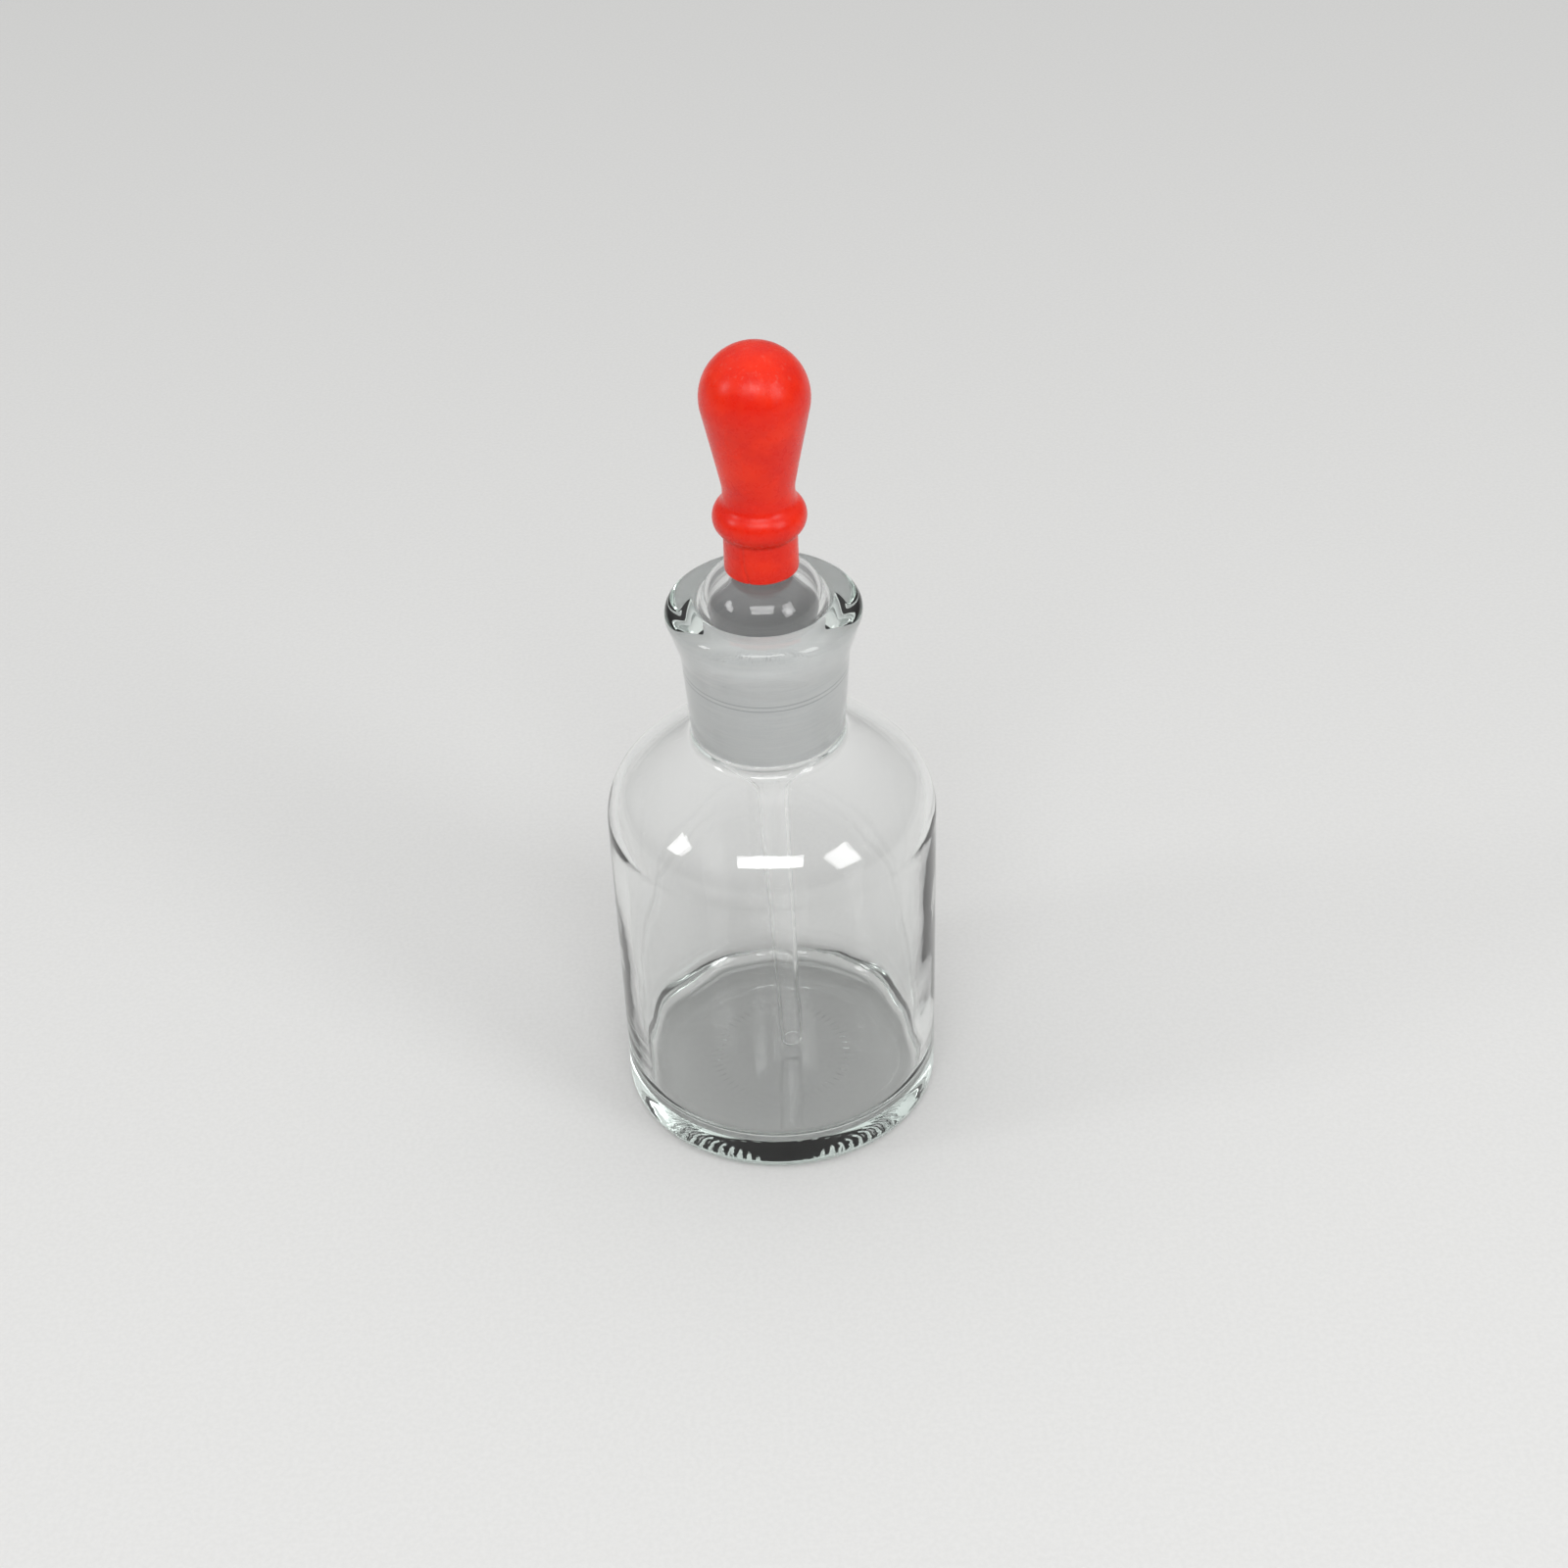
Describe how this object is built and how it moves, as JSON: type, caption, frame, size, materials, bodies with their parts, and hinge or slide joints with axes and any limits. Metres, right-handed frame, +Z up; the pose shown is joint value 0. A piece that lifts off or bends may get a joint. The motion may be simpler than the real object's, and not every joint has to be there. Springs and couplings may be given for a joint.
{
  "type": "dropper bottle",
  "caption": "Clear glass dropper bottle with a ground neck, a hollow ground-in glass dropper and a red rubber teat that lifts out with it.",
  "frame": {"origin": "centre of the bottle's foot, on the surface that it stands on", "axes": "+Z up along the common axis of bottle, dropper and teat; X and Y are equivalent"},
  "size_m": [0.046, 0.046, 0.1204],
  "materials": {
    "bottle_glass": "clear polished glass, ground and frosted inside the neck",
    "pipette_glass": "clear polished glass, ground and frosted on the stopper's cone",
    "teat_rubber": "satin orange-red rubber"
  },
  "bodies": {
    "bottle": {"bottle": "bottle_glass"},
    "pipette": {"pipette": "pipette_glass"},
    "teat": {"teat": "teat_rubber"}
  },
  "joints": [
    {"name": "stopper_lift", "type": "slide", "parent": "bottle", "child": "pipette", "axis": [0, 0, 1], "range_m": [0, 0.085]},
    {"name": "teat_pull", "type": "slide", "parent": "pipette", "child": "teat", "axis": [0, 0, 1], "range_m": [0, 0.015]}
  ]
}
